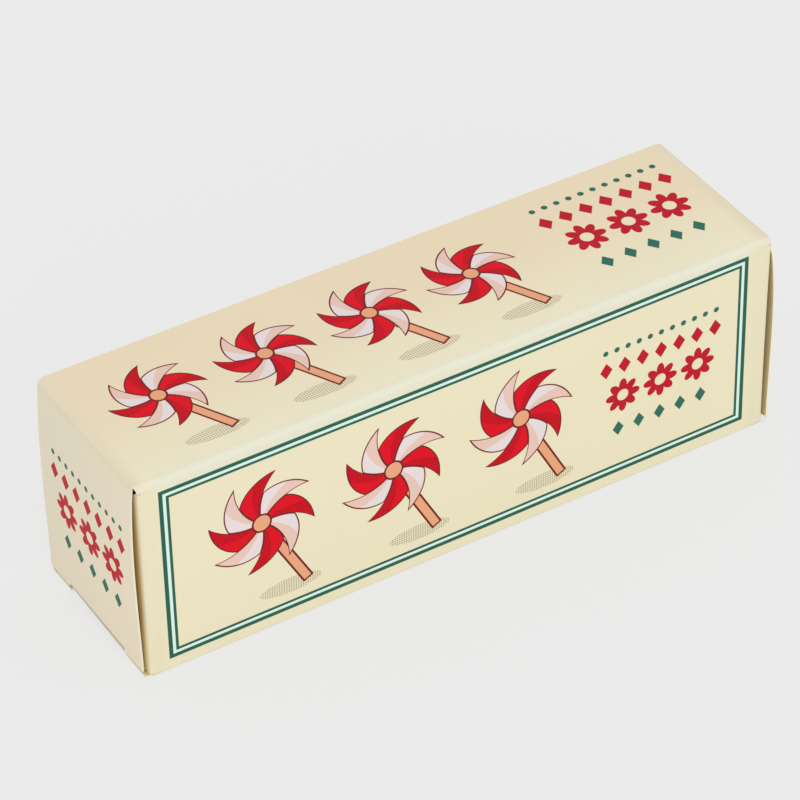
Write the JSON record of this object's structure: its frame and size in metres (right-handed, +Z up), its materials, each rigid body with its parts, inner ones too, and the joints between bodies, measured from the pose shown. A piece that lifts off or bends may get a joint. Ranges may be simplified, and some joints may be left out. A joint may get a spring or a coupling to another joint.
{
  "type": "boxed floating ball game",
  "caption": "Tuck-end printed board carton with hinged end flaps, holding a wooden blow pipe with a hoop over its air nozzle and light foam balls that float on the breath.",
  "frame": {"origin": "middle of the closed carton's base", "axes": "+X along the carton's length towards the end that the toy leaves by, -Y out of the front wall, +Z up through the top panel"},
  "size_m": [0.184, 0.0502, 0.06],
  "materials": {
    "printed_board": "satin",
    "red_paint": "gloss",
    "bare_wood": "satin",
    "white_foam": "matte"
  },
  "bodies": {
    "carton": {"top_panel": "printed_board", "front_panel": "printed_board", "back_panel": "printed_board", "bottom_panel": "printed_board", "glue_flap": "printed_board"},
    "left_end": {"left_end_panel": "printed_board"},
    "left_tuck": {"left_tuck_flap": "printed_board"},
    "left_front_dust": {"left_front_dust_flap": "printed_board"},
    "left_back_dust": {"left_back_dust_flap": "printed_board"},
    "right_end": {"right_end_panel": "printed_board"},
    "right_tuck": {"right_tuck_flap": "printed_board"},
    "right_front_dust": {"right_front_dust_flap": "printed_board"},
    "right_back_dust": {"right_back_dust_flap": "printed_board"},
    "pipe": {"pipe_bowl": "red_paint", "pipe_stem": "bare_wood", "air_nozzle": "bare_wood", "hoop_ring": "red_paint", "hoop_slat_1": "bare_wood", "hoop_slat_2": "bare_wood", "hoop_slat_3": "bare_wood"},
    "ball_1": {"ball_1": "white_foam"},
    "ball_2": {"ball_2": "white_foam"}
  },
  "joints": [
    {"name": "left_end_hinge", "type": "hinge", "parent": "carton", "child": "left_end", "pos_m": [-0.092, 0, 0.06], "axis": [0, 1, 0], "range_deg": [0, 240]},
    {"name": "left_tuck_crease", "type": "hinge", "parent": "left_end", "child": "left_tuck", "pos_m": [-0.092, 0, 0.001], "axis": [0, 1, 0], "range_deg": [0, 36]},
    {"name": "left_front_dust_hinge", "type": "hinge", "parent": "carton", "child": "left_front_dust", "pos_m": [-0.0911, -0.02507, 0.03], "axis": [0, 0, 1], "range_deg": [0, 180]},
    {"name": "left_back_dust_hinge", "type": "hinge", "parent": "carton", "child": "left_back_dust", "pos_m": [-0.0911, 0.02507, 0.03], "axis": [0, 0, -1], "range_deg": [0, 180]},
    {"name": "pipe_slide", "type": "slide", "parent": "carton", "child": "pipe", "axis": [1, 0, 0], "range_m": [0, 0.173]},
    {"name": "ball_1_roll", "type": "slide", "parent": "carton", "child": "ball_1", "axis": [1, 0, 0], "range_m": [0, 0.173]},
    {"name": "ball_2_roll", "type": "slide", "parent": "carton", "child": "ball_2", "axis": [1, 0, 0], "range_m": [0, 0.173]},
    {"name": "right_end_hinge", "type": "hinge", "parent": "carton", "child": "right_end", "pos_m": [0.092, 0, 0.06], "axis": [0, -1, 0], "range_deg": [0, 240]},
    {"name": "right_tuck_crease", "type": "hinge", "parent": "right_end", "child": "right_tuck", "pos_m": [0.092, 0, 0.001], "axis": [0, -1, 0], "range_deg": [0, 36]},
    {"name": "right_front_dust_hinge", "type": "hinge", "parent": "carton", "child": "right_front_dust", "pos_m": [0.0911, -0.02507, 0.03], "axis": [0, 0, -1], "range_deg": [0, 180]},
    {"name": "right_back_dust_hinge", "type": "hinge", "parent": "carton", "child": "right_back_dust", "pos_m": [0.0911, 0.02507, 0.03], "axis": [0, 0, 1], "range_deg": [0, 180]}
  ],
  "couplings": [
    {"joint": "left_tuck_crease", "follows": "left_end_hinge", "ratio": 0.15},
    {"joint": "left_front_dust_hinge", "follows": "left_end_hinge", "ratio": 0.75},
    {"joint": "left_back_dust_hinge", "follows": "left_end_hinge", "ratio": 0.75},
    {"joint": "ball_1_roll", "follows": "pipe_slide", "ratio": 1},
    {"joint": "ball_2_roll", "follows": "pipe_slide", "ratio": 1},
    {"joint": "right_end_hinge", "follows": "pipe_slide", "rad_per_m": 24.212},
    {"joint": "right_tuck_crease", "follows": "pipe_slide", "rad_per_m": 3.631},
    {"joint": "right_front_dust_hinge", "follows": "pipe_slide", "rad_per_m": 18.159},
    {"joint": "right_back_dust_hinge", "follows": "pipe_slide", "rad_per_m": 18.159}
  ]
}
